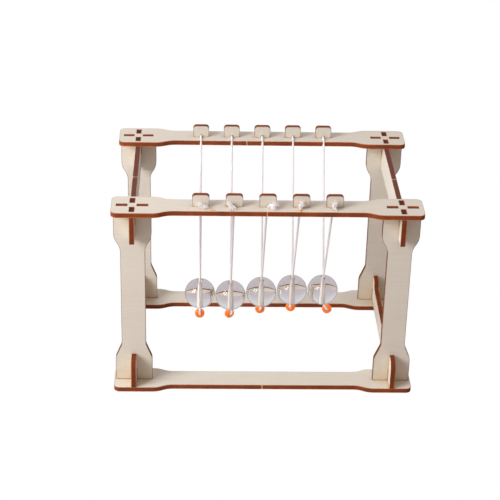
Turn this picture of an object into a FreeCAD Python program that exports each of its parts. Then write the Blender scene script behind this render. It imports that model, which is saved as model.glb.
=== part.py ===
import FreeCAD, Part
import math
import os

from FreeCAD import Placement, Rotation, Vector

# Newton's cradle: a flat-pack frame of laser-cut plywood that carries five clear balls on threads.
# Millimetres. +X runs along the rails, +Y to the back, +Z up. The origin is on the table, under the
# middle of the frame. Pieces are numbered from the left, seen from the front.

# ---- driving dimensions: the plywood frame
PLY = 2.5
FRAME_HEIGHT = 101.2        # table to the top face of the top rails
RAIL_LENGTH = 152.0
RAIL_SPACING = 84.8         # front rail's centre line to the back rail's
RAIL_END_WIDTH = 18.6
RAIL_WAIST_WIDTH = 13.0
RAIL_END_LENGTH = 19.3      # straight stretch of the wide end
RAIL_TAPER = 10.6
RAIL_CORNER = 3.0
CROSS_INSET = 10.15         # rail's end to the middle of the cross joint

LEG_END_WIDTH = 18.6
LEG_WAIST_WIDTH = 12.2
LEG_TOP_LENGTH = 12.5       # wide stretch below the top rail
LEG_TOP_TAPER = 10.4
LEG_FOOT_LENGTH = 8.8       # wide stretch above the base rail
LEG_FOOT_TAPER = 16.2
LEG_FOOT_SOFTNESS = 0.3     # share of the largest radius: the foot's taper is nearly straight

UPPER_PLATE_HEIGHT = 14.4
LOWER_PLATE_HEIGHT = 15.2
LOWER_PLATE_WAIST = 10.4    # height between the legs
LOWER_PLATE_CORNER = 4.5
LOWER_PLATE_TAPER = 7.0
LOWER_TAPER_INSET = 3.0     # leg's inner face to the start of the taper
UPPER_LAP = 7.7             # depth of the leg's upper slit
LOWER_LAP = 6.8             # depth of the leg's lower slit

# ---- driving dimensions: tabs, pegs and their slots
TAB_START = 2.6             # from the middle of the cross
TAB_LENGTH = 4.85
TAB_RECESS = 0.3            # tab's end stops short of the rail's outer face
SLOT_END_GAP = 0.3          # room past each end of a tab
FIT = 0.05                  # room on each side of a sheet in its slot
PEG_COUNT = 5
PEG_WIDTH = 8.4
PEG_FOOT_WIDTH = 8.0
PEG_HEIGHT = 6.2
PEG_FLARE_HEIGHT = 3.4      # where the head reaches its full width
PEG_CORNER = 1.7
STEM_WIDTH = 5.0

# ---- driving dimensions: balls, beads and thread
BALL_DIAMETER = 16.0
BALL_GAP = 0.3
BALL_HEIGHTS = (28.8, 27.7, 29.8, 31.2, 31.4)   # table to each ball's centre
BALL_MOUTH_CHAMFER = 0.4
BEAD_DIAMETER = 4.8
BEAD_HOLE = 1.7
BEAD_LENGTH = 3.0
BEAD_EDGE = 0.7
BEAD_SLACKS = (1.8, 0.7, -0.15, -0.1, 2.1)      # room between ball and bead; under 0 the bead nests
BEAD_LEANS = (0, -8, -12, -12, 38)              # degrees that the loop hangs out of plumb, to +X
BEAD_TURNS = (0, 30, 0, -20, 10)                # degrees that the bead is turned about the upright
THREAD = 1.0
THREAD_ROOM = 0.1           # room round a thread where it passes through or lies on a piece
STRAND_ROOM = 0.06          # room between the two strands in a ball
HOLE_ROOM = 0.02            # and round the pair of them
NOTCH_DEPTH = 2.0
NOTCH_ROOM = 0.12           # room each side of the thread in the rail's notch
EDGE_INSET = 0.3            # notch's end to the first of the thread's two turns over the rail's edge
EDGE_RUN = 1.2              # from the first turn to the second
EDGE_BEND = 2.0
MOUTH_RISE = 0.6            # the strands turn this far above the ball
MOUTH_BEND = 2.0
LOOP_RISE = 1.45            # side of the bead's loop
LOOP_OUT = 0.45             # bead's face to the middle of the loop's side
BEND_SHARE = 0.45           # share of a straight run that one bend may take
PIVOT_DROP = 0.75           # swing axis below the top rails
OPEN_GAP = 0.55             # thread left out above the swing axis, so that nothing rubs
KNOT_DIAMETER = 2.4
KNOT_SQUASH = 0.2           # depth by which peg and rail flatten the knot
TAIL_LENGTH = 2.8
TAIL_ROOT = 0.4             # radius of the frayed tail at the knot
TAIL_TIP = 0.8              # and where it has fanned out
TAIL_LEANS = (20, -25, 35, -5, 15)              # degrees that each tail points aside
TAIL_RISE = 12.0            # degrees that a tail points up

# ---- worked out
RAIL_TOP = FRAME_HEIGHT
RAIL_UNDER = FRAME_HEIGHT - PLY
FRONT = -RAIL_SPACING / 2
BACK = RAIL_SPACING / 2
CROSS_X = RAIL_LENGTH / 2 - CROSS_INSET
PLATE_HALF = BACK + RAIL_END_WIDTH / 2
SLIT_HALF = PLY / 2 + FIT
TAB_HEIGHT = PLY - TAB_RECESS
PITCH = BALL_DIAMETER + BALL_GAP
XS = [(k - (PEG_COUNT - 1) / 2) * PITCH for k in range(PEG_COUNT)]
BALL_RADIUS = BALL_DIAMETER / 2
STRAND = (THREAD + STRAND_ROOM) / 2
BALL_HOLE = STRAND + THREAD / 2 + HOLE_ROOM
REST = 0.02                 # a thread lies this far clear of the face that carries it
OVERRUN = 1.0               # a notch's cutter runs this far past the rail's edge

X = Vector(1, 0, 0)
Y = Vector(0, 1, 0)
Z = Vector(0, 0, 1)
FACING_FRONT = Rotation(X, 90)                   # a sheet drawn in XY stands up in the XZ plane
FACING_SIDE = Rotation(Vector(1, 1, 1), 120)     # and here in the YZ plane


# ---- outlines

def bend(before, corner, after, radius):
    """Start, middle and end of the arc that rounds a corner between two points."""
    back = (before - corner).normalize()
    on = (after - corner).normalize()
    half_turn = (math.pi - back.getAngle(on)) / 2
    reach = radius * math.tan(half_turn)
    inward = (back + on).normalize()
    middle = corner + inward * (radius / math.cos(half_turn) - radius)
    return corner + back * reach, middle, corner + on * reach


def rounded_path(corners, closed):
    """A wire of straight runs and tangent arcs through (point, radius) corners."""
    count = len(corners)
    arcs = []
    for i, (corner, radius) in enumerate(corners):
        if radius > 0:
            arcs.append(bend(corners[i - 1][0], corner, corners[(i + 1) % count][0], radius))
        else:
            arcs.append((corner, None, corner))
    edges = []
    for i, (start, middle, end) in enumerate(arcs):
        if middle is not None:
            edges.append(Part.Arc(start, middle, end).toShape())
        onward = arcs[(i + 1) % count][0]
        if (closed or i + 1 < count) and end.distanceToPoint(onward) > 1e-6:
            edges.append(Part.LineSegment(end, onward).toShape())
    return Part.Wire(edges)


def outline(points):
    """A face in the XY plane from (x, y, corner radius) points."""
    return Part.Face(rounded_path([(Vector(x, y, 0), r) for x, y, r in points], closed=True))


def sharp(*points):
    return [(x, y, 0) for x, y in points]


def mirrored_x(side):
    """A whole outline from its right-hand side, which runs from the bottom to the top."""
    return side + [(-x, y, r) for x, y, r in reversed(side)]


def mirrored_y(side):
    return side + [(x, -y, r) for x, y, r in reversed(side)]


def s_bend(start, end, softness=1.0):
    """Two corners that join two parallel edges by a smooth S along the first coordinate."""
    (x0, y0), (x1, y1) = start, end
    length = abs(x1 - x0)
    rise = abs(y1 - y0)
    radius = (length ** 2 + rise ** 2) / (4 * rise)
    reach = math.copysign(radius * rise / length, x1 - x0)
    return [(x0 + reach, y0, radius * softness), (x1 - reach, y1, radius * softness)]


def upright(corners):
    """The same corners with the two coordinates exchanged."""
    return [(y, x, r) for x, y, r in corners]


def sheet(points):
    """Plywood of the given outline, its thickness centred on the XY plane."""
    return outline(points).extrude(Z * PLY).translated(Z * (-PLY / 2))


def slot(x, y, length_x, length_y):
    """A cutter right through a rail that lies on the XY plane."""
    return Part.makeBox(length_x, length_y, 2 * PLY, Vector(x - length_x / 2, y - length_y / 2, -PLY))


def placed(shape, rotation, x=0.0, y=0.0, z=0.0):
    """A copy of a shape, turned about the origin and then moved to its place."""
    shape = shape.copy()
    shape.Placement = Placement(Vector(x, y, z), rotation).multiply(shape.Placement)
    return shape


# ---- rails

def rail_outline():
    half = RAIL_LENGTH / 2
    wide = RAIL_END_WIDTH / 2
    taper_end = half - RAIL_END_LENGTH - RAIL_TAPER
    right = s_bend((half - RAIL_END_LENGTH, wide), (taper_end, RAIL_WAIST_WIDTH / 2))
    left = [(-x, y, r) for x, y, r in reversed(right)]
    return mirrored_y([(half, wide, RAIL_CORNER)] + right + left + [(-half, wide, RAIL_CORNER)])


def cross_slots(x):
    """Four slots round the middle of a cross joint, for the tabs of a leg and of a side plate."""
    length = TAB_LENGTH + 2 * SLOT_END_GAP
    width = PLY + 2 * FIT
    away = TAB_START + TAB_LENGTH / 2
    along = [slot(x + side * away, 0, length, width) for side in (-1, 1)]
    across = [slot(x, side * away, width, length) for side in (-1, 1)]
    return along + across


def notch(x, edge):
    """A round-ended notch in a rail's edge; edge is the edge's y, with its sign."""
    half = THREAD / 2 + NOTCH_ROOM
    side = math.copysign(1, edge)
    depth = NOTCH_DEPTH - half
    mouth = slot(x, edge - side * (depth - OVERRUN) / 2, 2 * half, depth + OVERRUN)
    return mouth.fuse(Part.makeCylinder(half, 2 * PLY, Vector(x, edge - side * depth, -PLY)))


def base_rail(y):
    rail = sheet(rail_outline()).cut(cross_slots(-CROSS_X) + cross_slots(CROSS_X))
    return rail.translated(Vector(0, y, PLY / 2))


def top_rail(y):
    """A top rail; its notches open towards the middle of the frame."""
    inner_edge = math.copysign(RAIL_WAIST_WIDTH / 2, -y)
    cutters = cross_slots(-CROSS_X) + cross_slots(CROSS_X)
    cutters += [slot(x, 0, STEM_WIDTH + 2 * FIT, PLY + 2 * FIT) for x in XS]
    cutters += [notch(x, inner_edge) for x in XS]
    return sheet(rail_outline()).cut(cutters).translated(Vector(0, y, RAIL_TOP - PLY / 2))


# ---- legs and side plates

def tab(start, end, shoulder, tip):
    """Corners of a tab that stands on an edge, in the order start to end."""
    return sharp((start, shoulder), (start, tip), (end, tip), (end, shoulder))


def leg(x, y):
    wide = LEG_END_WIDTH / 2
    waist = LEG_WAIST_WIDTH / 2
    inner = TAB_START
    outer = TAB_START + TAB_LENGTH
    side = sharp((SLIT_HALF, PLY + LOWER_LAP), (SLIT_HALF, PLY))
    side += tab(inner, outer, PLY, PLY - TAB_HEIGHT)
    side += sharp((wide, PLY))
    foot = PLY + LEG_FOOT_LENGTH
    side += upright(s_bend((foot, wide), (foot + LEG_FOOT_TAPER, waist), LEG_FOOT_SOFTNESS))
    head = RAIL_UNDER - LEG_TOP_LENGTH
    side += upright(s_bend((head - LEG_TOP_TAPER, waist), (head, wide)))
    side += sharp((wide, RAIL_UNDER))
    side += tab(outer, inner, RAIL_UNDER, RAIL_UNDER + TAB_HEIGHT)
    side += sharp((SLIT_HALF, RAIL_UNDER), (SLIT_HALF, RAIL_UNDER - UPPER_LAP))
    return placed(sheet(mirrored_x(side)), FACING_FRONT, x, y)


def plate_tabs(shoulder, tip):
    """Both tabs of a side plate's back half, from the outer one to the inner one."""
    near = TAB_START
    far = TAB_START + TAB_LENGTH
    return tab(BACK + far, BACK + near, shoulder, tip) + tab(BACK - near, BACK - far, shoulder, tip)


def lap_slit(edge, depth_to):
    """A half-lap slit in a side plate at the back leg, from an edge to the given height."""
    near = BACK - SLIT_HALF
    far = BACK + SLIT_HALF
    return sharp((near, edge), (near, depth_to), (far, depth_to), (far, edge))


def upper_side_plate(x):
    bottom = RAIL_UNDER - UPPER_PLATE_HEIGHT
    side = lap_slit(bottom, RAIL_UNDER - UPPER_LAP + FIT)
    side += sharp((PLATE_HALF, bottom), (PLATE_HALF, RAIL_UNDER))
    side += plate_tabs(RAIL_UNDER, RAIL_UNDER + TAB_HEIGHT)
    return placed(sheet(mirrored_x(side)), FACING_SIDE, x)


def lower_side_plate(x):
    top = PLY + LOWER_PLATE_HEIGHT
    waist = PLY + LOWER_PLATE_WAIST
    taper_end = BACK - PLY / 2 - LOWER_TAPER_INSET
    side = s_bend((taper_end - LOWER_PLATE_TAPER, waist), (taper_end, top))
    side += lap_slit(top, PLY + LOWER_LAP - FIT)
    side += [(PLATE_HALF, top, LOWER_PLATE_CORNER)] + sharp((PLATE_HALF, PLY))
    side += plate_tabs(PLY, PLY - TAB_HEIGHT)
    return placed(sheet(mirrored_x(side)), FACING_SIDE, x)


# ---- pegs

def peg(x, y):
    """A peg: a head over the rail and a forked stem in it, with the thread in the fork."""
    fork = THREAD / 2 + THREAD_ROOM
    fork_top = THREAD + REST + 2 * THREAD_ROOM
    side = [(fork, fork_top, fork)]
    side += sharp((fork, -TAB_HEIGHT), (STEM_WIDTH / 2, -TAB_HEIGHT), (STEM_WIDTH / 2, 0))
    side += sharp((PEG_FOOT_WIDTH / 2, 0), (PEG_WIDTH / 2, PEG_FLARE_HEIGHT))
    side += [(PEG_WIDTH / 2, PEG_HEIGHT, PEG_CORNER)]
    return placed(sheet(mirrored_x(side)), FACING_FRONT, x, y, RAIL_TOP)


# ---- balls and stopper beads

def ball(x, z):
    """A ball with an upright hole, turned as one section so that its mouths are clean."""
    rim = BALL_HOLE + BALL_MOUTH_CHAMFER
    rim_height = math.sqrt(BALL_RADIUS ** 2 - rim ** 2)
    wall = rim_height - BALL_MOUTH_CHAMFER
    lower = Vector(rim, 0, -rim_height)
    upper = Vector(rim, 0, rim_height)
    hole = [Vector(BALL_HOLE, 0, -wall), Vector(BALL_HOLE, 0, wall)]
    edges = [
        Part.LineSegment(lower, hole[0]).toShape(),
        Part.LineSegment(hole[0], hole[1]).toShape(),
        Part.LineSegment(hole[1], upper).toShape(),
        Part.Arc(upper, Vector(BALL_RADIUS, 0, 0), lower).toShape(),
    ]
    section = Part.Face(Part.Wire(edges))
    return section.revolve(Vector(0, 0, 0), Z, 360).translated(Vector(x, 0, z))


def loop_axes(k):
    """Where a bead hangs: its centre, the way down its loop and the way along its hole."""
    lean = math.radians(BEAD_LEANS[k])
    turn = math.radians(BEAD_TURNS[k])
    down = Vector(math.sin(lean), 0, -math.cos(lean))
    along = Vector(-math.sin(turn), math.cos(turn), 0)
    along = (along - down * along.dot(down)).normalize()
    hole_foot = Vector(XS[k], 0, BALL_HEIGHTS[k] - BALL_RADIUS)
    return hole_foot + down * (BEAD_SLACKS[k] + BEAD_DIAMETER / 2), down, along


def stopper_bead(k):
    centre, down, along = loop_axes(k)
    low = BEAD_HOLE / 2
    high = BEAD_DIAMETER / 2
    half = BEAD_LENGTH / 2
    corners = [(low, -half), (high, -half), (high, half), (low, half)]
    section = outline([(x, y, BEAD_EDGE) for x, y in corners])
    ring = section.revolve(Vector(0, 0, 0), Y, 360)
    return placed(ring, Rotation(Y, along), centre.x, centre.y, centre.z)


# ---- threads

def cord_wire(name, corners):
    """A cord's centre line: each bend is as large as its runs allow, up to the wanted radius."""
    bends = [(corners[0][0], 0)]
    for i in range(1, len(corners) - 1):
        corner, wanted = corners[i]
        back = corners[i - 1][0] - corner
        on = corners[i + 1][0] - corner
        half_turn = (math.pi - back.getAngle(on)) / 2
        largest = BEND_SHARE * min(back.Length, on.Length) / math.tan(half_turn)
        bends.append((corner, min(wanted, largest)))
    bends.append((corners[-1][0], 0))
    wire = rounded_path(bends, closed=False)
    radii = ", ".join(f"{radius:.2f}" for _, radius in bends[1:-1])
    print(f"{name}: length {wire.Length:.2f}, bend radii {radii}")
    return wire


def tube(name, corners):
    """A round thread along its corners; its volume must be its section times its length."""
    wire = cord_wire(name, corners)
    start = corners[0][0]
    ahead = (corners[1][0] - start).normalize()
    ring = Part.Wire(Part.makeCircle(THREAD / 2, start, ahead))
    solid = wire.makePipeShell([ring], True, False)
    expected = math.pi * THREAD ** 2 / 4 * wire.Length
    print(f"{name}: volume {solid.Volume:.3f}, section times length {expected:.3f}")
    return solid


def mouth_corner(k, side):
    """Where a strand turns into the hole, just above its ball; side is -1 in front, 1 at the back."""
    z = BALL_HEIGHTS[k] + BALL_RADIUS + MOUTH_RISE
    return Vector(XS[k], side * STRAND, z)


def edge_corners(k, side):
    """The two turns that take a thread from a rail's top face down over the end of its notch."""
    inner_edge = BACK - RAIL_WAIST_WIDTH / 2
    upper = Vector(XS[k], side * (inner_edge + NOTCH_DEPTH - EDGE_INSET), RAIL_TOP + THREAD / 2 + REST)
    fall = mouth_corner(k, side) - upper
    half_drop = math.atan2(-fall.z, abs(fall.y)) / 2
    lower = upper + Vector(0, -side * math.cos(half_drop), -math.sin(half_drop)) * EDGE_RUN
    return upper, lower


def pivot(k, side):
    """The point of a strand on its swing axis, just below the top rail."""
    high = edge_corners(k, side)[1]
    low = mouth_corner(k, side)
    share = (high.z - (RAIL_UNDER - PIVOT_DROP)) / (high.z - low.z)
    return high + (low - high) * share


def swinging_thread(k):
    """One thread from the front pivot, through ball and bead, and back to the rear pivot."""
    centre, down, along = loop_axes(k)
    foot = Vector(XS[k], 0, BALL_HEIGHTS[k] - BALL_RADIUS + BALL_MOUTH_CHAMFER)
    out = BEAD_LENGTH / 2 + LOOP_OUT
    in_hole = centre - down * (BEAD_HOLE / 2 - THREAD / 2 - THREAD_ROOM)
    shoulder = in_hole - down * LOOP_RISE
    halves = []
    for side in (-1, 1):
        halves.append([
            (pivot(k, side), 0),
            (mouth_corner(k, side), MOUTH_BEND),
            (foot + along * (side * STRAND), THREAD),
            (shoulder + along * (side * out), THREAD),
            (in_hole + along * (side * out), THREAD),
        ])
    return tube(f"thread_{k + 1}", halves[0] + halves[1][::-1])


def knot_centre(k, side):
    off = KNOT_DIAMETER / 2 - KNOT_SQUASH
    return Vector(XS[k], side * (BACK + PLY / 2 + off), RAIL_TOP + off)


def knot(k, side):
    """A knot pulled tight into the corner between peg and rail, with a frayed tail."""
    centre = knot_centre(k, side)
    face = BACK + PLY / 2
    room = Part.makeBox(2 * KNOT_DIAMETER, KNOT_DIAMETER, KNOT_DIAMETER,
                        Vector(XS[k] - KNOT_DIAMETER, face if side > 0 else -face - KNOT_DIAMETER, RAIL_TOP))
    ball_of_thread = Part.makeSphere(KNOT_DIAMETER / 2, centre).common(room)
    lean = math.radians(TAIL_LEANS[k])
    rise = math.radians(TAIL_RISE)
    way = Vector(math.sin(lean), side * math.cos(lean), math.sin(rise)).normalize()
    tail = Part.makeCone(TAIL_ROOT, TAIL_TIP, TAIL_LENGTH, centre + way * (KNOT_DIAMETER / 4), way)
    return ball_of_thread.fuse(tail)


def thread_end(k, side, name):
    """The still part of a thread: knot, through the peg's fork, over the notch, to the gap."""
    upper, lower = edge_corners(k, side)
    pivot_point = pivot(k, side)
    stop = pivot_point + (lower - pivot_point).normalize() * OPEN_GAP
    start = Vector(XS[k], knot_centre(k, side).y, upper.z)
    run = tube(name, [(start, 0), (upper, EDGE_BEND), (lower, EDGE_BEND), (stop, 0)])
    return run.fuse(knot(k, side))


# ---- the whole cradle

def build():
    nodes = {
        "front_top_rail": top_rail(FRONT),
        "back_top_rail": top_rail(BACK),
        "front_base_rail": base_rail(FRONT),
        "back_base_rail": base_rail(BACK),
    }
    for side_name, x in (("left", -CROSS_X), ("right", CROSS_X)):
        nodes[f"leg_front_{side_name}"] = leg(x, FRONT)
        nodes[f"leg_back_{side_name}"] = leg(x, BACK)
        nodes[f"side_plate_upper_{side_name}"] = upper_side_plate(x)
        nodes[f"side_plate_lower_{side_name}"] = lower_side_plate(x)
    for k, x in enumerate(XS):
        number = k + 1
        for row, y, side in (("front", FRONT, -1), ("back", BACK, 1)):
            nodes[f"peg_{row}_{number}"] = peg(x, y)
            name = f"thread_end_{row}_{number}"
            nodes[name] = thread_end(k, side, name)
        nodes[f"ball_{number}"] = ball(x, BALL_HEIGHTS[k])
        nodes[f"stopper_bead_{number}"] = stopper_bead(k)
        nodes[f"thread_{number}"] = swinging_thread(k)
    return nodes


def main():
    os.makedirs("parts", exist_ok=True)
    box = FreeCAD.BoundBox()
    for name, shape in build().items():
        solids = shape.Solids
        if len(solids) != 1 or not solids[0].isValid():
            raise ValueError(f"{name} is not one valid solid")
        solids[0].exportStep(f"parts/{name}.step")
        box.add(solids[0].BoundBox)
        print(f"{name}: {solids[0].Volume:.1f} mm3")
    print(f"box {box.XLength:.2f} x {box.YLength:.2f} x {box.ZLength:.2f}, lowest point {box.ZMin:.3f}")
    for k, x in enumerate(XS):
        p = pivot(k, 1)
        print(f"swing axis {k + 1}: x {x:.3f}, z {p.z:.3f}, strands at y +-{p.y:.3f}")


main()
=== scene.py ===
# %% [markdown]
# # A Newton's cradle of laser-cut plywood, thread and clear balls
#
# The real object is a flat-pack science kit. Sheets of thin plywood push together into an open frame, and
# five clear balls with a hole through them hang from pegs on white cotton threads. A small orange bead
# under each ball stops it on its thread. The plywood pieces come ready from the CAD model, so this lesson
# gives them their finish, and models again what CAD can only hint at: twisted thread, frayed knots, smooth
# clear balls and glossy beads.

# %% Load the frame
import math
import random

import bpy
from mathutils import Matrix, Vector


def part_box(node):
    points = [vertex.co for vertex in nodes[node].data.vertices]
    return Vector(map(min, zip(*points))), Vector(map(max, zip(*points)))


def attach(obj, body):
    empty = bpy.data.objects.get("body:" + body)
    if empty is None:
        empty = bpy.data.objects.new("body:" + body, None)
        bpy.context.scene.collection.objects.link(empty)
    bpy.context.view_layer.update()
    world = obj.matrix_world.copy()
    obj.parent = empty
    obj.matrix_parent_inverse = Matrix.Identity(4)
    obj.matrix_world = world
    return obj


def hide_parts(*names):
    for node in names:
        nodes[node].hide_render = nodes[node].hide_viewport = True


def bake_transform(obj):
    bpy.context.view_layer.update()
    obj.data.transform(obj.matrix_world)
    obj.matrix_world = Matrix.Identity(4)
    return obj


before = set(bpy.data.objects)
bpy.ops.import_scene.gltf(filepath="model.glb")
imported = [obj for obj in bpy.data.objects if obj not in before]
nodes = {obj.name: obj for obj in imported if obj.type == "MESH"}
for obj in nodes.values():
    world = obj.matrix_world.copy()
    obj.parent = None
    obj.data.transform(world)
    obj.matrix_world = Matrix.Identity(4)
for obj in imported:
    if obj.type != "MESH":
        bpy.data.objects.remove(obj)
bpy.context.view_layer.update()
MM = 0.001
UP = Vector((0, 0, 1))

# %% [markdown]
# ## The camera
#
# A long lens from some way off keeps the frame's uprights nearly parallel. The camera stands in front of
# the middle, looks down on the rails, and is tilted a little to one side, as a hand-held one is. Its three
# axes are worked out from those angles and put straight in its matrix, which is safer than turning it
# three times.

# %% Place the camera
CAMERA_PLACE = Vector((-0.0334, -0.7121, 0.4274))
CAMERA_YAW = math.radians(2.16)
CAMERA_DIP = math.radians(27.60)
CAMERA_ROLL = math.radians(1.46)
LENS = 110.5

ahead = Vector((math.sin(CAMERA_YAW) * math.cos(CAMERA_DIP),
                math.cos(CAMERA_YAW) * math.cos(CAMERA_DIP),
                -math.sin(CAMERA_DIP)))
level = Vector((math.cos(CAMERA_YAW), -math.sin(CAMERA_YAW), 0))
above = level.cross(ahead)
right = level * math.cos(CAMERA_ROLL) + above * math.sin(CAMERA_ROLL)
top = above * math.cos(CAMERA_ROLL) - level * math.sin(CAMERA_ROLL)

bpy.ops.object.camera_add()
camera = bpy.context.object
camera.matrix_world = Matrix.Translation(CAMERA_PLACE) @ Matrix((right, top, -ahead)).transposed().to_4x4()
camera.data.sensor_width = 36
camera.data.lens = LENS
camera.data.clip_start = 0.05
camera.data.clip_end = 20
bpy.context.scene.camera = camera
bpy.context.scene.view_settings.view_transform = "Standard"
print("camera looks along", [round(c, 3) for c in ahead])

# %% [markdown]
# ## The routes of the threads
#
# One thread holds each ball. It starts in a knot outside the front peg, passes through the peg's fork and
# over the notch in the rail, falls straight to the ball, goes down through it, makes a loop through the
# bead, and comes back the same way to the back rail. The ball's weight keeps it taut, so only its ends and
# the loop are bent. A NURBS spline of order 3 follows such a route well: it is straight where three of its
# points are in line and smooth everywhere else. Each route is made from one half and its mirror image.

# %% Helpers for places on the object
def middle_of(node):
    low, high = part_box(node)
    return (low + high) / 2


COUNT = 5
NUMBERS = range(1, COUNT + 1)
SIDES = {"front": -1, "back": 1}
BALL_RADIUS = 8.0 * MM
BALLS = {k: middle_of(f"ball_{k}") for k in NUMBERS}
BEADS = {k: middle_of(f"stopper_bead_{k}") for k in NUMBERS}
print("balls at", [[round(c / MM, 2) for c in BALLS[k]] for k in NUMBERS])

# %% The points of one half of a route
BEAD_TURNS = {1: 0, 2: 30, 3: 0, 4: -20, 5: 10}     # degrees about the upright
STRAND = 0.53 * MM              # a strand's distance from the middle of its ball's hole
STRAND_PINCHED = 0.42 * MM      # and inside the hole, where the two strands lie side by side
STRAND_TURN = math.radians(65)
THREAD_LEVEL = 101.72 * MM
KNOT_Y = 44.65 * MM
EDGE_Y = 37.6 * MM
EDGE_RUN = 1.2 * MM
MOUTH_RISE = 0.9 * MM
NEAR_EDGE = 6 * MM
LOOP_OUT = 1.95 * MM
LOOP_RISE = 1.45 * MM
LOOP_LOW = 0.25 * MM            # the thread lies this far above the bead's middle
FOOT_RISE = 0.4 * MM            # and bends this far above the ball's lower pole


def loop_axes(k, side):
    """The way down from ball to bead, and the way along the bead's hole."""
    down = (BEADS[k] - BALLS[k] + UP * BALL_RADIUS).normalized()
    turn = math.radians(BEAD_TURNS[k])
    along = Vector((-math.sin(turn), math.cos(turn), 0)) * side
    return down, (along - down * along.dot(down)).normalized()


def half_route(k, side):
    """From the knot on one rail to the middle of the loop; side is -1 in front and 1 at the back."""
    x = BALLS[k].x
    down, along = loop_axes(k, side)
    knot = Vector((x, side * KNOT_Y, THREAD_LEVEL))
    edge = Vector((x, side * EDGE_Y, THREAD_LEVEL))
    mouth = Vector((x, side * STRAND, BALLS[k].z + BALL_RADIUS + MOUTH_RISE))
    fall = mouth - edge
    half_drop = math.atan2(-fall.z, abs(fall.y)) / 2
    over = edge + Vector((0, -side * math.cos(half_drop), -math.sin(half_drop))) * EDGE_RUN
    run = (mouth - over).normalized()
    foot = BALLS[k] - UP * (BALL_RADIUS - FOOT_RISE) + along * STRAND
    pinched = Vector((math.sin(STRAND_TURN), math.cos(STRAND_TURN), 0)) * side * STRAND_PINCHED
    hole = BEADS[k] - down * LOOP_LOW
    shoulder = hole - down * LOOP_RISE + along * LOOP_OUT
    next_run = (shoulder - foot).length
    upper_hole = Vector((x, 0, mouth.z - NEAR_EDGE)) + pinched
    lower_hole = Vector((x, 0, foot.z + next_run)) + pinched
    return [knot, edge, over, over + run * NEAR_EDGE, mouth - run * NEAR_EDGE, mouth,
            upper_hole, lower_hole, foot, shoulder,
            hole + along * LOOP_OUT, hole + along * (LOOP_OUT - LOOP_RISE)]


routes = {k: half_route(k, -1) + half_route(k, 1)[::-1] for k in NUMBERS}
print("points in a route:", len(routes[1]))

# %% Read a smooth line from a spline
def spline_line(points, smoothness=16):
    """The points of a bare NURBS curve that has the given control points."""
    curve = bpy.data.curves.new("route", "CURVE")
    curve.dimensions = "3D"
    curve.resolution_u = smoothness
    spline = curve.splines.new("NURBS")
    spline.points.add(len(points) - 1)
    for point, place in zip(spline.points, points):
        point.co = (*place, 1)
    spline.order_u = 3
    spline.use_endpoint_u = True
    route = bpy.data.objects.new("route", curve)
    bpy.context.scene.collection.objects.link(route)
    mesh = bpy.data.meshes.new_from_object(route)
    line = [v.co.copy() for v in mesh.vertices]
    bpy.data.objects.remove(route)
    bpy.data.curves.remove(curve)
    bpy.data.meshes.remove(mesh)
    return line


def line_length(line):
    return sum((b - a).length for a, b in zip(line, line[1:]))


lines = {k: spline_line(routes[k]) for k in NUMBERS}
print("thread lengths, mm:", [round(line_length(lines[k]) / MM, 1) for k in NUMBERS])

# %% [markdown]
# ## Twisted thread
#
# The thread is a cotton cord of three plies, each a bundle of fibres, twisted together. A plain tube would
# look like wire. So three thin tubes wind round the route, a third of a turn apart: the line is walked in
# even steps, a frame is carried along it without twisting, and each ply's centre turns in that frame. Each
# ply gets a UV map, u along it and v round it, so that its fibres can follow it in the material.

# %% Walk a line in even steps, with a frame that doesn't twist
def even_steps(line, step):
    total = line_length(line)
    count = max(2, round(total / step))
    places, done, i = [line[0].copy()], 0.0, 0
    for n in range(1, count + 1):
        goal = total * n / count
        while i < len(line) - 2 and done + (line[i + 1] - line[i]).length < goal:
            done += (line[i + 1] - line[i]).length
            i += 1
        run = line[i + 1] - line[i]
        places.append(line[i] + run * min(1.0, (goal - done) / run.length))
    return places


def carried_frames(places):
    """For each place, two directions square to the line and to each other."""
    frames = []
    sideways = Vector((1, 0, 0))
    for i, place in enumerate(places):
        ahead = (places[min(i + 1, len(places) - 1)] - places[max(i - 1, 0)]).normalized()
        sideways = (sideways - ahead * sideways.dot(ahead)).normalized()
        frames.append((place, sideways.copy(), ahead.cross(sideways)))
    return frames


# %% Make the mesh of a bundle of tubes
def tube_bundle(name, tubes, sides):
    """One mesh of closed tubes; each is a list of (place, direction, direction, radius) rings."""
    points, faces, uvs = [], [], []
    for rings in tubes:
        base = len(points)
        way = 0.0
        ways = []
        for i, (place, a, b, radius) in enumerate(rings):
            way += (place - rings[i - 1][0]).length if i else 0
            ways.append(way)
            for j in range(sides):
                angle = 2 * math.pi * j / sides
                points.append(place + (a * math.cos(angle) + b * math.sin(angle)) * radius)
        for i in range(len(rings) - 1):
            for j in range(sides):
                low, high = base + i * sides, base + (i + 1) * sides
                k = (j + 1) % sides
                faces.append((low + j, low + k, high + k, high + j))
                uvs += [(ways[i], j / sides), (ways[i], (j + 1) / sides),
                        (ways[i + 1], (j + 1) / sides), (ways[i + 1], j / sides)]
        last = base + (len(rings) - 1) * sides
        faces.append(tuple(range(base + sides - 1, base - 1, -1)))
        faces.append(tuple(range(last, last + sides)))
        uvs += [(0, 0)] * sides + [(way, 0)] * sides
    mesh = bpy.data.meshes.new(name)
    mesh.from_pydata(points, [], faces)
    layer = mesh.uv_layers.new(name="along")
    for loop, uv in zip(layer.data, uvs):
        loop.uv = (uv[0] / MM, uv[1])
    mesh.polygons.foreach_set("use_smooth", [True] * len(mesh.polygons))
    piece = bpy.data.objects.new(name, mesh)
    bpy.context.scene.collection.objects.link(piece)
    return piece


# %% Wind the plies of each thread
PLIES = 3
PLY_RADIUS = 0.31 * MM
PLY_OFFSET = 0.29 * MM
TWIST_PITCH = 2.6 * MM
STEP = 0.26 * MM


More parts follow.
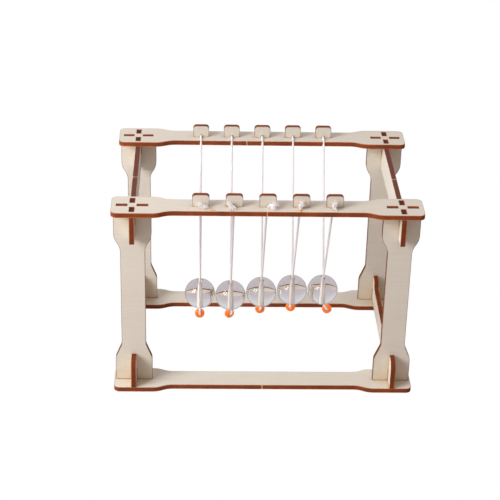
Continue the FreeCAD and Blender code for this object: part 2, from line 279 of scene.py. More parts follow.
def plies(line, step=STEP, pitch=TWIST_PITCH, swell=1.0):
    """The rings of the plies that wind round a line."""
    frames = carried_frames(even_steps(line, step))
    tubes = []
    for ply in range(PLIES):
        rings = []
        for i, (place, a, b) in enumerate(frames):
            angle = 2 * math.pi * (i * step / pitch + ply / PLIES)
            out = a * math.cos(angle) + b * math.sin(angle)
            rings.append((place + out * PLY_OFFSET * swell, a, b, PLY_RADIUS * swell))
        tubes.append(rings)
    return tubes


threads = {k: tube_bundle(f"twisted_thread_{k}", plies(lines[k]), sides=7) for k in NUMBERS}
print("faces in a thread:", len(threads[1].data.polygons))

# %% [markdown]
# ## Knots with frayed ends
#
# Outside each peg the thread is tied in an overhand knot, cut short, and left to fray. The knot's line is a
# trefoil, the simplest real knot, pulled small. Its loose end is a tuft of fine fibres in two locks that fan
# out, each fibre a thin tapered tube with a bend of its own. Chance places them, from a fixed seed, so that
# every run gives the same tufts. Each knot sits and leans its own way.

# %% How each knot sits
KNOT_RADIUS = 0.85 * MM
KNOT_DEPTH = 0.45 * MM
KNOT_POINTS = 30
KNOT_OUT = 1.1 * MM             # from the peg's face to the knot's middle
KNOT_UP = 1.2 * MM              # and from the rail's top
KNOT_SHIFTS = {1: 0.5, 2: -1.7, 3: 1.5, 4: -0.3, 5: -0.3}        # aside, in millimetres
LOCKS = {                       # degrees aside, degrees up and length in millimetres of each lock
    1: ((-42, 34, 3.4), (50, -4, 3.4)),
    2: ((-46, 52, 3.0), (12, -14, 4.4)),
    3: ((66, 34, 3.8), (34, -4, 3.6)),
    4: ((26, 64, 3.7), (-18, 10, 2.6)),
    5: ((6, 64, 3.6), (-4, 4, 2.8)),
}
FIBRES_IN_LOCK = 95
PEG_FACE_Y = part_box("peg_back_1")[1].y
RAIL_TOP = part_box("back_top_rail")[1].z
RAIL_EDGE_Y = 48.9 * MM         # where the rail is narrow, between its ends
SKIN = 0.03 * MM                # room kept between a knot and the wood it is pulled against


def knot_line(centre, side):
    points = []
    for i in range(KNOT_POINTS + 1):
        t = 0.2 + (2 * math.pi - 0.4) * i / KNOT_POINTS
        points.append(centre + Vector((
            (math.sin(t) + 2 * math.sin(2 * t)) / 3 * KNOT_RADIUS,
            -side * math.sin(3 * t) * KNOT_DEPTH,
            (math.cos(t) - 2 * math.cos(2 * t)) / 3 * KNOT_RADIUS)))
    return spline_line(points, smoothness=4)


# %% One fibre
FIBRE_RADIUS = 0.05 * MM
FIBRE_FAN = 0.27                # how far the fibres of a lock lean away from its middle
FIBRE_BEND = 0.3
ROOT_WIDTH = 0.2 * MM


def fibre(root, way, length, chance):
    """One loose fibre, which bends a little and gets thinner to its tip."""
    spread = Vector([chance.uniform(-1.5, 1.5) for _ in range(3)])
    way = (way + spread * FIBRE_FAN).normalized()
    bend = Vector([chance.uniform(-FIBRE_BEND, FIBRE_BEND) for _ in range(3)])
    length *= chance.uniform(0.5, 1.0)
    start = root + spread * ROOT_WIDTH
    places = [start + way * length * t + bend * length * t * t for t in (0, 0.25, 0.5, 0.75, 1.0)]
    radii = [FIBRE_RADIUS * r for r in (1.3, 1.2, 1.0, 0.8, 0.35)]
    return [(*f, r) for f, r in zip(carried_frames(places), radii)]


# %% One knot and its tuft
LOCK_ROOT = 0.4 * MM            # from the knot's middle to where a lock starts


def frayed_knot(k, row):
    side = SIDES[row]
    chance = random.Random(k * 10 + side)
    shift = KNOT_SHIFTS[k] * MM
    centre = Vector((BALLS[k].x + shift, side * (PEG_FACE_Y + KNOT_OUT), RAIL_TOP + KNOT_UP))
    tubes = plies(knot_line(centre, side), step=0.2 * MM, swell=0.9)
    for aside, up, length in LOCKS[k]:
        aside, up = math.radians(aside), math.radians(up)
        way = Vector((math.sin(aside) * math.cos(up), side * math.cos(aside) * math.cos(up), math.sin(up)))
        tubes += [fibre(centre + way * LOCK_ROOT, way, length * MM, chance) for _ in range(FIBRES_IN_LOCK)]
    knot = tube_bundle(f"frayed_knot_{row}_{k}", tubes, sides=5)
    for vertex in knot.data.vertices:       # pulled tight, the knot is flat on peg and rail
        in_front = side * vertex.co.y < RAIL_EDGE_Y
        if in_front:
            vertex.co.z = max(vertex.co.z, RAIL_TOP + SKIN)
        vertex.co.y = side * max(side * vertex.co.y, PEG_FACE_Y + SKIN)
    return knot


knots = {(row, k): frayed_knot(k, row) for row in SIDES for k in NUMBERS}
print("faces in a knot:", len(knots["front", 1].data.polygons))

# %% [markdown]
# ## Threads and knots in place
#
# A real thread stays on the rail while its lower part swings. Here each thread keeps the place it was built
# in, and the model's own thread and thread ends are hidden. The knots stay on the frame.

for k, thread in threads.items():
    x = BALLS[k].x
    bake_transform(thread)
    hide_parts(f"thread_{k}", f"thread_end_front_{k}", f"thread_end_back_{k}")
    for row in SIDES:
        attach(knots[row, k], "frame")
    round(line_length(lines[k]), 4)

# %% [markdown]
# ## Clear balls
#
# The balls are of clear plastic, drilled through the middle for the thread. Light bends at every wall, so
# the hole matters as much as the outside: without it a ball would show only an upside-down picture of what
# is behind it. A fine sphere is opened at both poles and its two rims are bridged into a tube with two
# cuts. The cuts are drawn in to the hole's width and moved towards the mouths, which leaves a chamfer at
# each mouth. The edges of the mouths are then rounded with a small bevel.

# %% Helpers for modelling by hand
def clear_selection():
    if bpy.context.object and bpy.context.object.mode != "OBJECT":
        bpy.ops.object.mode_set(mode="OBJECT")
    bpy.ops.object.select_all(action="DESELECT")


def pick(piece, part, wanted):
    """In edit mode, select the vertices, edges or faces of a piece for which wanted(...) is true."""
    bpy.ops.object.mode_set(mode="EDIT")
    bpy.ops.mesh.select_mode(type={"vertices": "VERT", "edges": "EDGE", "polygons": "FACE"}[part])
    bpy.ops.mesh.select_all(action="DESELECT")
    bpy.ops.object.mode_set(mode="OBJECT")
    points = piece.data.vertices
    for item in getattr(piece.data, part):
        if part == "vertices":
            item.select = wanted(item.co)
        elif part == "edges":
            item.select = wanted(points[item.vertices[0]].co) and wanted(points[item.vertices[1]].co)
        else:
            item.select = wanted(item.normal)
    bpy.ops.object.mode_set(mode="EDIT")


def from_axis(co):
    return math.hypot(co.x, co.y)


def close_up(piece):
    """Merge doubles, turn every face outwards and go back to object mode."""
    bpy.ops.mesh.select_all(action="SELECT")
    bpy.ops.mesh.remove_doubles(threshold=0.001 * MM)
    bpy.ops.mesh.normals_make_consistent(inside=False)
    bpy.ops.object.mode_set(mode="OBJECT")
    bpy.ops.object.shade_smooth_by_angle(angle=math.radians(40))


def placed_copy(pattern, name, matrix):
    """A copy with its own mesh, whose place is in the mesh."""
    piece = bpy.data.objects.new(name, pattern.data.copy())
    piece.data.transform(matrix)
    bpy.context.scene.collection.objects.link(piece)
    return piece


# %% Model one ball
HOLE_RADIUS = 1.03 * MM
MOUTH_RIM = 1.3 * MM
MOUTH_DEPTH = 7.5 * MM
MOUTH_ROUND = 0.12 * MM
NEAR = 0.01 * MM                # points closer than this count as the same place

clear_selection()
bpy.ops.mesh.primitive_uv_sphere_add(segments=96, ring_count=72, radius=BALL_RADIUS, location=(0, 0, 0))
ball = bpy.context.object
pick(ball, "vertices", lambda co: from_axis(co) < MOUTH_RIM)
bpy.ops.mesh.delete(type="VERT")
bpy.ops.object.mode_set(mode="OBJECT")
rim = min(from_axis(v.co) for v in ball.data.vertices)
rim_height = max(v.co.z for v in ball.data.vertices)
pick(ball, "edges", lambda co: from_axis(co) < rim + NEAR)
bpy.ops.mesh.bridge_edge_loops(number_cuts=2)
bpy.ops.object.mode_set(mode="OBJECT")
pick(ball, "vertices", lambda co: from_axis(co) < rim + NEAR and abs(co.z) < rim_height / 2)
bpy.ops.transform.resize(value=(HOLE_RADIUS / rim, HOLE_RADIUS / rim, MOUTH_DEPTH / (rim_height / 3)),
                         center_override=(0, 0, 0))
bpy.ops.object.mode_set(mode="OBJECT")
pick(ball, "edges", lambda co: abs(from_axis(co) - rim) < NEAR
     or abs(from_axis(co) - HOLE_RADIUS) < NEAR and abs(co.z) > MOUTH_DEPTH - NEAR)
bpy.ops.mesh.bevel(offset=MOUTH_ROUND, segments=3, profile=0.5)
close_up(ball)
print("ball:", len(ball.data.polygons), "faces, hole", round(2 * HOLE_RADIUS / MM, 1), "mm wide")

# %% Hang five copies of it
clear_balls = {k: placed_copy(ball, f"clear_ball_{k}", Matrix.Translation(BALLS[k])) for k in NUMBERS}
bpy.data.objects.remove(ball)
for k, piece in clear_balls.items():
    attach(piece, f"pendulum_{k}")
    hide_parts(f"ball_{k}")
    piece.visible_shadow = False        # clear plastic lets light through to the thread inside

# %% [markdown]
# ## Orange beads
#
# A seed bead is a short ring of glass or plastic with edges melted round. A cylinder gets its ends inset
# to the hole's width, the two inner faces are bridged into the hole, and both pairs of rims are bevelled
# in several steps, the outer ones widely. Each bead is turned so that its thread passes through it.

# %% Model one bead
BEAD_RADIUS = 2.4 * MM
BEAD_HALF = 1.5 * MM
BEAD_HOLE = 0.85 * MM
BEAD_ROUND = 1.0 * MM
HOLE_ROUND = 0.4 * MM

clear_selection()
bpy.ops.mesh.primitive_cylinder_add(vertices=56, radius=BEAD_RADIUS, depth=2 * BEAD_HALF, location=(0, 0, 0))
bead = bpy.context.object
pick(bead, "polygons", lambda normal: abs(normal.z) > 0.9)
bpy.ops.mesh.inset(thickness=BEAD_RADIUS - BEAD_HOLE, use_individual=True)
bpy.ops.mesh.bridge_edge_loops()
bpy.ops.object.mode_set(mode="OBJECT")
print("smallest ring of the bead:", round(min(from_axis(v.co) for v in bead.data.vertices) / MM, 2), "mm")
pick(bead, "edges", lambda co: from_axis(co) > BEAD_RADIUS * 0.99 and abs(co.z) > BEAD_HALF * 0.99)
bpy.ops.mesh.bevel(offset=BEAD_ROUND, segments=7, profile=0.5)
bpy.ops.object.mode_set(mode="OBJECT")
pick(bead, "edges", lambda co: from_axis(co) < BEAD_HOLE * 1.02 and abs(co.z) > BEAD_HALF * 0.99)
bpy.ops.mesh.bevel(offset=HOLE_ROUND, segments=5, profile=0.5)
close_up(bead)
print("bead:", len(bead.data.polygons), "faces")

# %% Thread the five beads
def turned_to(direction, place):
    """The matrix that stands a piece's axis along a direction, at a place."""
    return Matrix.Translation(place) @ UP.rotation_difference(direction).to_matrix().to_4x4()


orange_beads = {}
for k in NUMBERS:
    down, along = loop_axes(k, 1)
    orange_beads[k] = placed_copy(bead, f"orange_bead_{k}", turned_to(along, BEADS[k]))
    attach(orange_beads[k], f"pendulum_{k}")
    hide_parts(f"stopper_bead_{k}")
bpy.data.objects.remove(bead)

# %% [markdown]
# ## Spots of glue
#
# Two of the front knots were fixed with a drop of yellow glue that ran to the rail's edge. A small sphere
# is squashed to a drop, roughened by moving its points a little at random from a fixed seed, and sunk
# partly into the rail, as a drop that has soaked in looks.

# %% Model the glue
def glue_drop(name, place, size, seed):
    clear_selection()
    bpy.ops.mesh.primitive_uv_sphere_add(segments=20, ring_count=12, radius=0.5 * MM, location=(0, 0, 0))
    drop = bpy.context.object
    bpy.ops.object.mode_set(mode="EDIT")
    bpy.ops.mesh.select_all(action="SELECT")
    bpy.ops.transform.vertex_random(offset=0.12 * MM, seed=seed)
    bpy.ops.mesh.vertices_smooth(factor=0.5, repeat=2)
    bpy.ops.transform.resize(value=size, center_override=(0, 0, 0))
    close_up(drop)
    piece = placed_copy(drop, name, Matrix.Translation(place))
    bpy.data.objects.remove(drop)
    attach(piece, "frame")
    return piece


glue_drops = [
    glue_drop("glue_drop_1", Vector((BALLS[1].x + 6.0 * MM, -47.6 * MM, RAIL_TOP)), (3.0, 1.3, 0.3), 3),
    glue_drop("glue_drop_4", Vector((BALLS[4].x - 0.6 * MM, -47.8 * MM, RAIL_TOP)), (1.7, 2.4, 0.8), 5),
]

# %% [markdown]
# ## A short way to write shader nodes
#
# Node trees get long, so two small classes make them readable. A `Value` wraps one socket that carries a
# number, and its operators add Math nodes: `1 - mask * 2` is two nodes in one line. A `Finish` is a
# material being built, and its `node` method adds any other node from its type, its settings, which are set
# first, and the values or links of its sockets. The Ambient Occlusion node finds the places for burn marks
# and painted shade: looking out from inside a piece it finds the sharp edges, which are singed, and looking
# out from the surface it finds the corners where two pieces meet, which get painted shade.

# %% A number on its way through the nodes
class Value:
    def __init__(self, finish, socket):
        self.finish, self.socket = finish, socket

    def maths(self, operation, a, b=0.0):
        return self.finish.node("Math", {"operation": operation}, {0: a, 1: b}).out(0)

    def __add__(self, other): return self.maths("ADD", self, other)
    def __radd__(self, other): return self.maths("ADD", other, self)
    def __sub__(self, other): return self.maths("SUBTRACT", self, other)
    def __rsub__(self, other): return self.maths("SUBTRACT", other, self)
    def __mul__(self, other): return self.maths("MULTIPLY", self, other)
    def __rmul__(self, other): return self.maths("MULTIPLY", other, self)
    def __abs__(self): return self.maths("ABSOLUTE", self)
    def __gt__(self, other): return self.maths("GREATER_THAN", self, other)
    def __lt__(self, other): return self.maths("LESS_THAN", self, other)

    def ramp(self, start, end):
        """0 below start and 1 above end, straight between; start may be the larger one."""
        return self.finish.clamped((self - start) * (1 / (end - start)))


# %% A material being built
class Node:
    def __init__(self, finish, node):
        self.finish, self.node = finish, node

    def out(self, socket=0):
        return Value(self.finish, self.node.outputs[socket])


class Finish:
    def __init__(self, name, owners=None):
        """A new material, or a new world where owners is bpy.data.worlds."""
        owners = bpy.data.materials if owners is None else owners
        self.material = owners.new(name)
        self.material.use_nodes = True
        self.tree = self.material.node_tree
        self.tree.nodes.clear()

    def node(self, kind, settings=None, values=None):
        node = self.tree.nodes.new("ShaderNode" + kind)
        for key, setting in (settings or {}).items():
            setattr(node, key, setting)
        for key, value in (values or {}).items():
            socket = node.inputs[key]
            if isinstance(value, Value):
                self.tree.links.new(value.socket, socket)
            else:
                socket.default_value = value
        return Node(self, node)

    def clamped(self, value):
        return self.node("Clamp", None, {"Value": value}).out(0)

    def object_place(self):
        """Where a point is on the object: x, y and z, and the three as a vector."""
        place = self.node("TexCoord").out("Object")
        split = self.node("SeparateXYZ", None, {0: place})
        return split.out(0), split.out(1), split.out(2), place

    def noise(self, place, scale, stretch=(1, 1, 1), detail=3.0, rough=0.5):
        """Soft noise from 0 to 1, whose grains are about 1 / scale wide in metres."""
        spot = self.node("Mapping", {"vector_type": "POINT"}, {"Vector": place, "Scale": stretch}).out(0)
        return self.node("TexNoise", None, {"Vector": spot, "Scale": scale, "Detail": detail,
                                            "Roughness": rough}).out(0)

    def mixed(self, factor, a, b, blend="MIX"):
        """Colour a where factor is 0 and colour b where it is 1."""
        return self.node("Mix", {"data_type": "RGBA", "blend_type": blend},
                         {0: factor, 6: a, 7: b}).out(2)

    def bump(self, height, distance, strength=1.0):
        return self.node("Bump", None, {"Height": height, "Distance": distance, "Strength": strength}).out(0)

    def near_edge(self, width):
        """1 close to the piece's sharp edges and 0 further in, found by looking out from inside it."""
        open_share = self.node("AmbientOcclusion", {"samples": 8, "inside": True, "only_local": True},
                               {"Distance": width}).out("AO")
        return 1 - open_share

    def near_others(self, width):
        """How much of the view out from the surface other surfaces close to it hide, from 0 to 1."""
        return 1 - self.node("AmbientOcclusion", {"samples": 8}, {"Distance": width}).out("AO")

    def surface(self, values):
        shader = self.node("BsdfPrincipled", None, values)
        self.node("OutputMaterial", None, {"Surface": shader.out(0)})
        return self.material


# %% Colours and painting
def colour(red, green, blue):
    """A colour given as on a screen, 0 to 255, turned into the light values that shaders use."""
    def light(c):
        c /= 255
        return c / 12.92 if c <= 0.04045 else ((c + 0.055) / 1.055) ** 2.4
    return (light(red), light(green), light(blue), 1.0)


def paint(pieces, material):
    for piece in pieces:
        piece.data.materials.clear()
        piece.data.materials.append(material)
    print(material.name, "on", len(pieces), "pieces")


# %% [markdown]
# ## Cotton thread
#
# Cotton is matt and white, with fibres that run along each ply at a slant. Noise stretched along the UV
# map gives the fibres, as a fine bump and a slight change of brightness, and the valleys between the plies
# darken by themselves, because they are real geometry. A soft sheen stands for the fuzz.

# %% Thread finish
cotton = Finish("white_cotton")
along_ply = cotton.node("UVMap", {"uv_map": "along"}).out(0)
fibres = cotton.noise(along_ply, 6.0, stretch=(0.6, 9.0, 1.0), detail=3.0)
patches = cotton.noise(along_ply, 0.35, detail=2.0)
white = cotton.mixed(fibres * 0.7 + patches * 0.3, colour(226, 223, 223), colour(250, 249, 250))
paint([*threads.values()], cotton.surface({
    "Base Color": white, "Roughness": 0.85, "Sheen Weight": 0.3, "Sheen Roughness": 0.5,
    # A faint lilac-white emission paints a glow into the thread, so that it reads whiter.
    "Emission Color": colour(244, 240, 255), "Emission Strength": 0.10,
    "Normal": cotton.bump(fibres, 0.05 * MM, 0.5)}))

# %% [markdown]
# ## Frayed cotton
#
# Loose fibres look whiter than twisted thread, because light soaks through each of them and comes out again
# on all sides. Subsurface scattering does the same over a fraction of a millimetre, and a faint emission
# paints extra light into the tufts.

# %% Knot finish
loose = Finish("frayed_cotton")
along_fibre = loose.node("UVMap", {"uv_map": "along"}).out(0)
shade = loose.noise(along_fibre, 2.0, detail=2.0)
paint([*knots.values()], loose.surface({
    "Base Color": loose.mixed(shade, colour(238, 234, 236), colour(253, 250, 252)),
    "Roughness": 0.9, "Subsurface Weight": 0.4, "Subsurface Radius": (1.0, 1.0, 1.0),
    "Subsurface Scale": 0.4 * MM, "Sheen Weight": 0.3, "Sheen Roughness": 0.5,
    # A faint emission paints a glow into the tufts.
    "Emission Color": colour(250, 244, 250), "Emission Strength": 0.11}))

# %% [markdown]
# ## Clear plastic
#
# Clear plastic bends light as glass does, with an index of 1.49. The colour is very slightly grey. Near its
# rim a real ball shows what stands far to its side, where a room is darker than the pale background. No
# room is modelled here, so the Layer Weight node, which tells how slanting the surface is, gives the rim a
# darker tint. Handling leaves faint smears, which only change the roughness in patches.

# %% Ball finish
clear = Finish("clear_plastic")
_, _, _, place = clear.object_place()
smears = clear.noise(place, 260.0, stretch=(1, 1, 0.5), detail=4.0)
slant = clear.node("LayerWeight", None, {"Blend": 0.5}).out("Facing")
tint = clear.mixed(slant.ramp(0.6, 0.88), (0.94, 0.935, 0.925, 1), (0.15, 0.12, 0.10, 1))
paint([*clear_balls.values()], clear.surface({
    "Base Color": tint, "Transmission Weight": 1.0, "IOR": 1.49,
    "Roughness": smears.ramp(0.45, 0.75) * 0.03 + 0.004}))

# %% [markdown]
# ## The hole's frosted wall
#
# A drilled hole isn't polished. Its wall is scuffed along the drill's way, so it looks milky, where a
# smooth wall would act as a mirror and hide the thread. The balls get it as a second material, given to the
# faces that are as close to the axis as the hole's wall is.

# %% Hole finish
frosted = Finish("frosted_hole")
_, _, _, place = frosted.object_place()
scuffs = frosted.noise(place, 1400.0, stretch=(1, 1, 0.08), detail=3.0).ramp(0.3, 0.7)
frosted.surface({
    "Base Color": frosted.mixed(scuffs, colour(205, 193, 184), colour(240, 233, 226)),
    "Transmission Weight": 0.65, "IOR": 1.1, "Roughness": scuffs * 0.3 + 0.4,
    # A faint emission paints a glow into the milky wall.
    "Emission Color": colour(236, 226, 220), "Emission Strength": 0.045})
for k, piece in clear_balls.items():
    piece.data.materials.append(frosted.material)
    for face in piece.data.polygons:
        if from_axis(face.center - BALLS[k]) < HOLE_RADIUS * 1.02:
            face.material_index = 1
print("frosted faces in a ball:", sum(face.material_index for face in clear_balls[1].data.polygons))

# %% [markdown]
# ## Orange glass
#
# The beads are of coloured glass that lets some light through, so a real bead glows where light leaves it.
# Part of the light is scattered under the surface and the rest is reflected by a smooth coat. A weak orange
# emission paints more of that glow.

# %% Bead finish
orange = Finish("translucent_orange")
_, _, _, place = orange.object_place()
swirl = orange.noise(place, 700.0, detail=2.0)
paint([*orange_beads.values()], orange.surface({
    "Base Color": orange.mixed(swirl.ramp(0.3, 0.7), colour(246, 128, 0), colour(252, 170, 20)),
    "Roughness": swirl * 0.08 + 0.12, "Transmission Weight": 0.1, "IOR": 1.5,
    "Subsurface Weight": 0.5, "Subsurface Radius": (1.0, 0.5, 0.08), "Subsurface Scale": 1.0 * MM,
    "Coat Weight": 0.15, "Coat Roughness": 0.05,
    # A weak orange emission paints a glow into the bead.
    "Emission Color": colour(255, 128, 0), "Emission Strength": 0.16}))

# %% [markdown]
# ## Glue's finish
#
# Dried glue is amber and a little cloudy. Noise changes its tone and how smooth it is, and light gets some
# way into it.

# %% Glue finish
glue = Finish("amber_glue")
_, _, _, place = glue.object_place()
cloudy = glue.noise(place, 900.0, detail=3.0)
paint(glue_drops, glue.surface({
    "Base Color": glue.mixed(cloudy, colour(220, 142, 40), colour(236, 184, 92)),
    "Roughness": cloudy * 0.2 + 0.15, "Subsurface Weight": 0.4, "Subsurface Radius": (1.0, 0.6, 0.2),
    "Subsurface Scale": 0.8 * MM}))

# %% [markdown]
# ## Plywood
#
# Every wooden piece is cut from a sheet of three plies. Its faces are pale bare veneer with a fine grain,
# singed along their rims. A warm shade is painted into the corners between pieces, and a warm bounce light
# is painted low on the standing pieces. The cut edges are burnt by the laser: brown outer plies, a darker
# and greyer core, a dark line of glue on each side of the core, and fine stripes across the thickness where
# the beam pulsed. The edges are darker on the legs, pegs and side plates than on the rails, partly with char
# and partly with painted shade, and the tabs' ends get painted shade in their slots. A small bridge that
# held the piece in its sheet was broken by hand, so it left a pale unburnt mark. How far a point lies from
# the middle of its sheet tells which of these it is, and that is easy to get from Object coordinates,
# because each sheet is square to an axis.

# %% Plywood colours
FACE_LIGHT = colour(233, 229, 219)
FACE_DARK = colour(217, 209, 195)
SINGED = colour(112, 76, 60)
BURNT_VENEER = colour(206, 96, 30)
BURNT_RIM = colour(206, 116, 48)
BURNT_DARK = colour(62, 20, 8)
BURNT_CORE = colour(124, 72, 52)
BURNT_GREY = colour(108, 70, 62)
# painted warm bounce light at the feet of the standing pieces
FOOT_BOUNCE_TINT = colour(255, 241, 214)
# painted warm shade in the corners between pieces
CONTACT_SHADE_TINT = colour(239, 225, 207)
BRIDGE_PALE = colour(236, 212, 180)

# %% Plywood sizes
SHEET_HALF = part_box("front_base_rail")[1].z / 2
CORE_HALF = 0.6 * MM
BRIDGE_HALF = 0.22 * MM
RIM_WIDTH = 0.5 * MM            # how far in from an edge a face is singed
CONTACT_SHADE_WIDTH = 14 * MM         # how far out from where two pieces meet the painted warm shade reaches
FOOT_BOUNCE_ZONE = (22 * MM, 6 * MM)   # heights between which a leg gets painted warm bounce light, more of it lower down
JOINT_TOP = 2 * SHEET_HALF      # top face of the base rails
TAB_ZONES = (1.5 * MM, 99.5 * MM)   # the tabs' ends are below the first and above the second
PLATE_TOP = 98.4 * MM           # just under the top edge of legs and upper plates


# %% The pale faces
def veneer_face(finish, z, place, streaks, grain, singed, standing):
    """The colour of a sheet's faces: grain, singed rims, painted warm shade in the corners and painted warm
    bounce light at the feet.
    """
    clouds = finish.noise(place, 60.0, stretch=grain, detail=2.0)
    specks = finish.noise(place, 2600.0, detail=2.0)
    tone = finish.clamped(streaks * 0.8 + clouds * 0.5 + specks * 0.5 - 0.4)
    wood = finish.mixed(tone, FACE_DARK, FACE_LIGHT)
    singe = finish.clamped(finish.near_edge(RIM_WIDTH) * 3.0 - 0.25) * singed
    if standing:
        _, foot_bounce = standing
        joint_line = z.ramp(JOINT_TOP + 0.35 * MM, JOINT_TOP + 0.1 * MM)
        singe = finish.clamped(singe + joint_line * 0.6)
        # Painted warm bounce light, stronger towards the foot.
        wood = finish.mixed(z.ramp(*FOOT_BOUNCE_ZONE) * foot_bounce, wood, FOOT_BOUNCE_TINT, blend="MULTIPLY")
    wood = finish.mixed(singe, wood, SINGED)
    # Painted warm shade where other pieces are close, found by ambient occlusion.
    painted_corner_shade = finish.near_others(CONTACT_SHADE_WIDTH).ramp(0.3, 0.8)
    return finish.mixed(painted_corner_shade, wood, CONTACT_SHADE_TINT, blend="MULTIPLY")


# %% The burnt edges
def plies_seen(finish, place, depth, stripes):
    """The colours of the plies and glue lines in a cut edge, and where the core is."""
    scorch = finish.noise(place, 120.0, detail=4.0, rough=0.6)
    core = depth.ramp(CORE_HALF + 0.06 * MM, CORE_HALF - 0.06 * MM)
    glue_line = abs(depth - CORE_HALF).ramp(0.11 * MM, 0.03 * MM)
    outer = finish.mixed(finish.clamped(scorch * 1.9 + stripes * 0.8 - 1.0), BURNT_VENEER, BURNT_DARK)
    edge = finish.mixed(finish.clamped(core * (0.5 + stripes * 0.7)), outer, BURNT_CORE)
    edge = finish.mixed(glue_line * 0.55, edge, BURNT_DARK)
    rim = depth.ramp(SHEET_HALF - 0.3 * MM, SHEET_HALF - 0.1 * MM)
    return finish.mixed(rim * 0.6, edge, BURNT_RIM), core


def burnt_edge(finish, spot, place, depth, stripes, char_and_shade, bridge, standing):
    """The colour of a sheet's cut edges: its plies, darkened edges that are partly char and partly painted
    shade, painted shade on the tab ends in their slots, and the marks of the bridges.
    """
    z = spot[2]
    edge, core = plies_seen(finish, place, depth, stripes)
    # The cut edges are darkened: partly darker char and partly painted shade.
    if standing:
        tab_ends = finish.clamped((z > TAB_ZONES[1]) + (z < TAB_ZONES[0]))
        edge = finish.mixed((1 - tab_ends) * char_and_shade, edge, BURNT_DARK)
        edge = finish.mixed((z > PLATE_TOP) * (1 - tab_ends) * 0.75, edge, BURNT_GREY)
    else:
        edge = finish.mixed(char_and_shade, edge, BURNT_DARK)
    if bridge:
        wobble = (stripes - 0.5) * 0.5 * MM
        pale = (bridge(*spot) + wobble).ramp(BRIDGE_HALF + 0.1 * MM, BRIDGE_HALF)
        edge = finish.mixed(pale * (0.85 - core * 0.4), edge, BRIDGE_PALE)
    if standing:
        # Painted shade on the tabs' ends down in their slots, with the pulse stripes left lighter.
        slot_shade, _ = standing
        edge = finish.mixed(tab_ends * slot_shade * (1 - stripes.ramp(0.5, 0.62) * 0.6), edge, BURNT_DARK)
    return edge


# %% Plywood finish
def along_axis(axis, share):
    """How much a pattern is squeezed along x, y and z, to be drawn out along one of them."""
    stretch = [1.0, 1.0, 1.0]
    stretch[axis] = share
    return stretch


def plywood(name, thickness_axis, middle, half_gap, grain_axis, singed, char_and_shade, bridge=None, standing=None):
    """Plywood whose sheets lie square to an axis, half_gap on each side of middle.

    singed is how dark the faces are at their rims, and soot how dark the cut edges are, from 0 to 1; the
    darker edges are partly darker char and partly painted shade.
    bridge gives how far a point is from the small bridges that held the piece in its sheet. standing is for
    a piece that stands in the rails, which has a dark line where it meets the base rail: it holds how much
    painted shade the tab ends get in their slots and how much painted warm bounce light the foot gets."""
    finish = Finish(name)
    *spot, place = finish.object_place()
    depth = abs(abs(spot[thickness_axis] - middle) - half_gap)
    grain = along_axis(grain_axis, 0.06)
    streaks = finish.noise(place, 1500.0, stretch=grain, detail=4.0, rough=0.6)
    stripes = finish.noise(place, 4000.0, stretch=along_axis(thickness_axis, 0.08), detail=2.0)
    wood = veneer_face(finish, spot[2], place, streaks, grain, singed, standing)
    edge = burnt_edge(finish, spot, place, depth, stripes, char_and_shade, bridge, standing)
    face = depth.ramp(SHEET_HALF - 0.05 * MM, SHEET_HALF - 0.02 * MM)
    return finish.surface({
        "Base Color": finish.mixed(face, edge, wood),
        "Roughness": 0.62 + streaks * 0.12 + (1 - face) * 0.08,
        "Specular IOR Level": 0.15,
        "Normal": finish.bump(streaks * face + stripes * (1 - face) * 1.5, 0.03 * MM, 0.6)})


# %% Give each sheet its plywood
X_AXIS, Y_AXIS, Z_AXIS = 0, 1, 2
FRONT_BRIDGE = -0.45 * MM
BACK_BRIDGE = -8.3 * MM
PLATE_BRIDGE = -5.0 * MM
LEVELS = (middle_of("front_base_rail").z, middle_of("front_top_rail").z)
ROW = middle_of("peg_back_1").y
ENDS = middle_of("side_plate_lower_right").x


def rail_bridge(x, y, z):
    """Near the middle on the front rails and further left on the back top rail; the fourth shows none."""
    at_back = (y > 0) * (BACK_BRIDGE - FRONT_BRIDGE)
    hidden = (y > 0) * (z < 50 * MM) * 10 * MM
    return abs(x - FRONT_BRIDGE - at_back) + hidden


def plate_bridge(x, y, z):
    """A little in front of the middle on all four side plates."""
    return abs(y - PLATE_BRIDGE)


paint([nodes[n] for n in nodes if n.endswith("_rail")],
      plywood("plywood_lying", Z_AXIS, sum(LEVELS) / 2, (LEVELS[1] - LEVELS[0]) / 2, X_AXIS,
              singed=0.5, char_and_shade=0.04, bridge=rail_bridge))
paint([nodes[n] for n in nodes if n.startswith("leg_")],
      plywood("plywood_facing_front", Y_AXIS, 0.0, ROW, X_AXIS,
              singed=0.95, char_and_shade=0.5, standing=(0.35, 0.25)))
paint([nodes[n] for n in nodes if n.startswith("peg_")],
      plywood("plywood_pegs", Y_AXIS, 0.0, ROW, X_AXIS, singed=0.8, char_and_shade=0.3))
paint([nodes[n] for n in nodes if n.startswith("side_plate_")],
      plywood("plywood_facing_side", X_AXIS, 0.0, ENDS, Y_AXIS,
              singed=0.6, char_and_shade=0.34, bridge=plate_bridge, standing=(0.85, 0.1)))

# %% [markdown]
# ## Table, light and background
#
# The cradle stands on a plain pale floor, in front of a plain background. A soft key light from the left
# gives bright left faces and a slow fall of light to the right. A wide weak one above keeps the tops even,
# and a small low one at the side fills the side plates, without showing in the balls. Seen straight, floor
# and background are white. Scattered light sees them as a warm dim grey, which keeps the shadows deep, and
# what shows through a ball or in its gloss is a light violet grey, as a studio's paper is, which gives the
# clear balls their tone.

# %% Floor
clear_selection()
bpy.ops.mesh.primitive_plane_add(size=6, location=(0, 0, -0.05 * MM))
floor = bpy.context.object
floor.name = "floor"

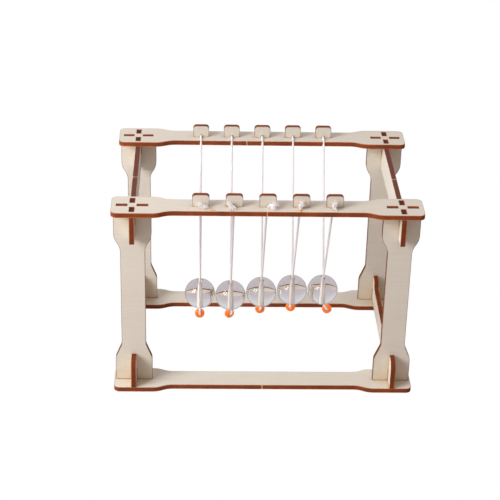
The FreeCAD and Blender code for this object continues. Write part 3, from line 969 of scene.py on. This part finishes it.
# %% Floor's paper
paper = Finish("paper")
rays = paper.node("LightPath")
dull = paper.node("BsdfDiffuse", None, {"Color": (0.50, 0.45, 0.43, 1)}).out(0)
x, y, _, _ = paper.object_place()
# Seen through a ball or in its gloss, the floor glows with a painted light, darker towards the front and to
# the right.
far = y.ramp(0.05, 0.16)
tone = paper.mixed(far * (0.7 + x.ramp(0.02, -0.10) * 0.3), (0.54, 0.485, 0.515, 1), (0.68, 0.64, 0.67, 1))
tinted = paper.node("Emission", None, {"Color": tone, "Strength": 1.0}).out(0)
bright = paper.node("Emission", None, {"Color": (1, 1, 1, 1), "Strength": 1.0}).out(0)
clear_rays = paper.clamped(rays.out("Is Transmission Ray") + rays.out("Is Glossy Ray"))
seen = paper.node("MixShader", None, {0: clear_rays, 1: dull, 2: tinted}).out(0)
seen = paper.node("MixShader", None, {0: rays.out("Is Camera Ray"), 1: seen, 2: bright}).out(0)
paper.node("OutputMaterial", None, {"Surface": seen})
paint([floor], paper.material)

# %% Background
studio = Finish("studio", bpy.data.worlds)
bpy.context.scene.world = studio.material
rays = studio.node("LightPath")
warm = studio.node("Background", None, {"Color": (0.46, 0.392, 0.37, 1), "Strength": 0.9}).out(0)
violet = studio.node("Background", None, {"Color": (0.70, 0.70, 0.715, 1), "Strength": 1.0}).out(0)
white = studio.node("Background", None, {"Color": (1, 1, 1, 1), "Strength": 1.0}).out(0)
clear_rays = studio.clamped(rays.out("Is Transmission Ray") + rays.out("Is Glossy Ray"))
seen = studio.node("MixShader", None, {0: clear_rays, 1: warm, 2: violet}).out(0)
seen = studio.node("MixShader", None, {0: rays.out("Is Camera Ray"), 1: seen, 2: white}).out(0)
studio.node("OutputWorld", None, {"Surface": seen})
print("background", studio.material.name)

# %% Lights
LIT_PLACE = Vector((0, 0, 0.05))


def soft_light(name, place, size, power, mirrored=True):
    """A square soft light that faces the middle of the cradle; mirrored tells whether gloss shows it."""
    bpy.ops.object.light_add(type="AREA", location=place)
    lamp = bpy.context.object
    lamp.name = name
    lamp.data.shape = "SQUARE"
    lamp.data.size = size
    lamp.data.energy = power
    lamp.visible_glossy = mirrored
    lamp.visible_transmission = mirrored
    lamp.rotation_euler = (LIT_PLACE - Vector(place)).to_track_quat("-Z", "Y").to_euler()
    print(name, "light,", power, "W")


soft_light("key", (-0.62, -0.39, 0.46), 0.42, 6.2)
soft_light("overhead", (0.15, 0.25, 1.0), 0.9, 1.7)
soft_light("side", (-0.8, 0.15, 0.12), 0.3, 1.4, mirrored=False)
